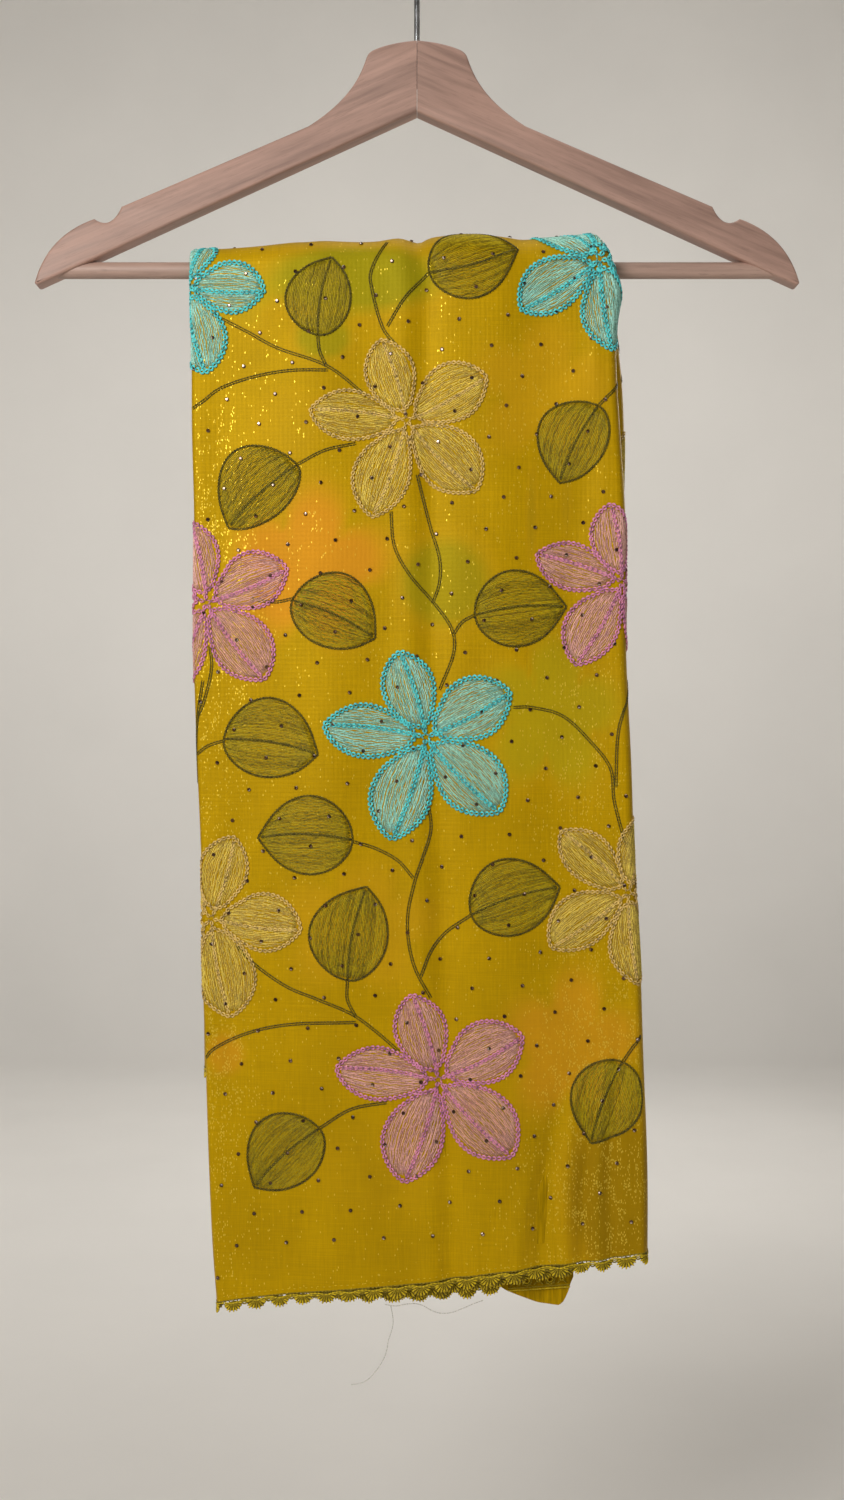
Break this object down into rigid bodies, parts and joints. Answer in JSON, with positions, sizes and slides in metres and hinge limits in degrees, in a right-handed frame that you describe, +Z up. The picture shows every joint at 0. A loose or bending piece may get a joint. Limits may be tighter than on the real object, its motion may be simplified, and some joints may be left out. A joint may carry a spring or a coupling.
{
  "type": "embroidered saree folded on a wooden clothes hanger",
  "caption": "Saree with embroidered flowers, folded flat and hung over the bar of a wooden clothes hanger with a wire hook.",
  "frame": {"origin": "the point inside the hook that rests on a rail", "axes": "+X to the right of the front, +Y to the back, +Z up; the hanger's bar runs along X and the cloth hangs along -Z"},
  "size_m": [0.445, 0.0434, 0.8609],
  "materials": {
    "wood": "sanded pale beech with a thin satin lacquer, fine straight grain along each arm",
    "bar_wood": "turned pale beech dowel, satin",
    "steel": "plated steel wire, bright",
    "tissue": "sheer mustard tissue with a metallic weft that glints",
    "leaf_cloth": "the same tissue in its inner leaves",
    "lace": "crocheted scalloped cotton lace, olive mustard",
    "thread": "white sewing thread",
    "teal_thread": "glossy teal embroidery thread",
    "cream_thread": "glossy cream embroidery thread",
    "pink_thread": "glossy pink embroidery thread",
    "leaf_thread": "olive embroidery thread",
    "crystal": "small faceted smoky stones"
  },
  "bodies": {
    "root": {"hanger_arm_left": "wood", "hanger_arm_right": "wood", "hanger_bar": "bar_wood", "hook": "steel", "wrap_front": "tissue", "wrap_crown": "tissue", "wrap_back": "tissue", "folded_leaves": "leaf_cloth", "slipped_leaf": "leaf_cloth", "lace_front": "lace", "lace_front_1": "lace", "lace_front_2": "lace", "lace_front_3": "lace", "lace_slipped": "lace", "lace_back": "lace", "lace_back_1": "lace", "lace_back_2": "lace", "thread_tail": "thread", "thread_loop": "thread"}
  },
  "joints": []
}
